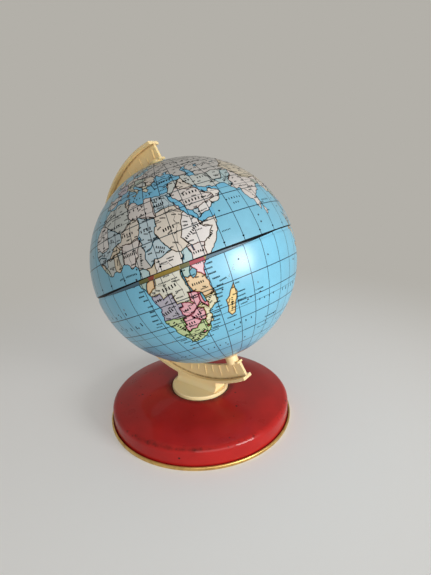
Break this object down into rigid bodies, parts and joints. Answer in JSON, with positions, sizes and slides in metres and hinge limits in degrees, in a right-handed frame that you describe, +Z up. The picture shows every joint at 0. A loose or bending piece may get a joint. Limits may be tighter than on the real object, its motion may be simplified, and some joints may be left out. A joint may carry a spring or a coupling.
{
  "type": "desktop globe on stand",
  "caption": "Tinplate terrestrial globe spinning on a tilted axle in a moulded C-shaped meridian arm, on a round drawn pan base.",
  "frame": {"origin": "middle of the base on the table plane", "axes": "+Z up; the arm lies in the XZ plane and the north pole leans towards -X"},
  "size_m": [0.1754, 0.152, 0.2157],
  "materials": {
    "red_lacquered_tin": "gloss lacquer, gold lacquer on the rim",
    "ivory_polystyrene": "moulded, satin, aged",
    "lithographed_tin": "printed map under gloss varnish",
    "zinc_plated_steel": "dull zinc",
    "drawn_steel": "bright drawn",
    "brass": "satin"
  },
  "bodies": {
    "base": {"base_pan": "red_lacquered_tin"},
    "arm": {"meridian_arm": "ivory_polystyrene", "foot_washer": "zinc_plated_steel", "foot_screw": "zinc_plated_steel", "axle_rod": "drawn_steel", "north_washer": "zinc_plated_steel", "south_washer": "zinc_plated_steel"},
    "globe": {"north_half": "lithographed_tin", "south_half": "lithographed_tin", "north_eyelet": "brass", "south_eyelet": "brass"}
  },
  "joints": [
    {"name": "arm_swivel", "type": "hinge", "parent": "base", "child": "arm", "pos_m": [0, 0, 0.0216], "axis": [0, 0, 1], "continuous": true},
    {"name": "globe_spin", "type": "hinge", "parent": "arm", "child": "globe", "pos_m": [0, 0, 0.1283], "axis": [-0.3987, 0, 0.9171], "continuous": true}
  ]
}
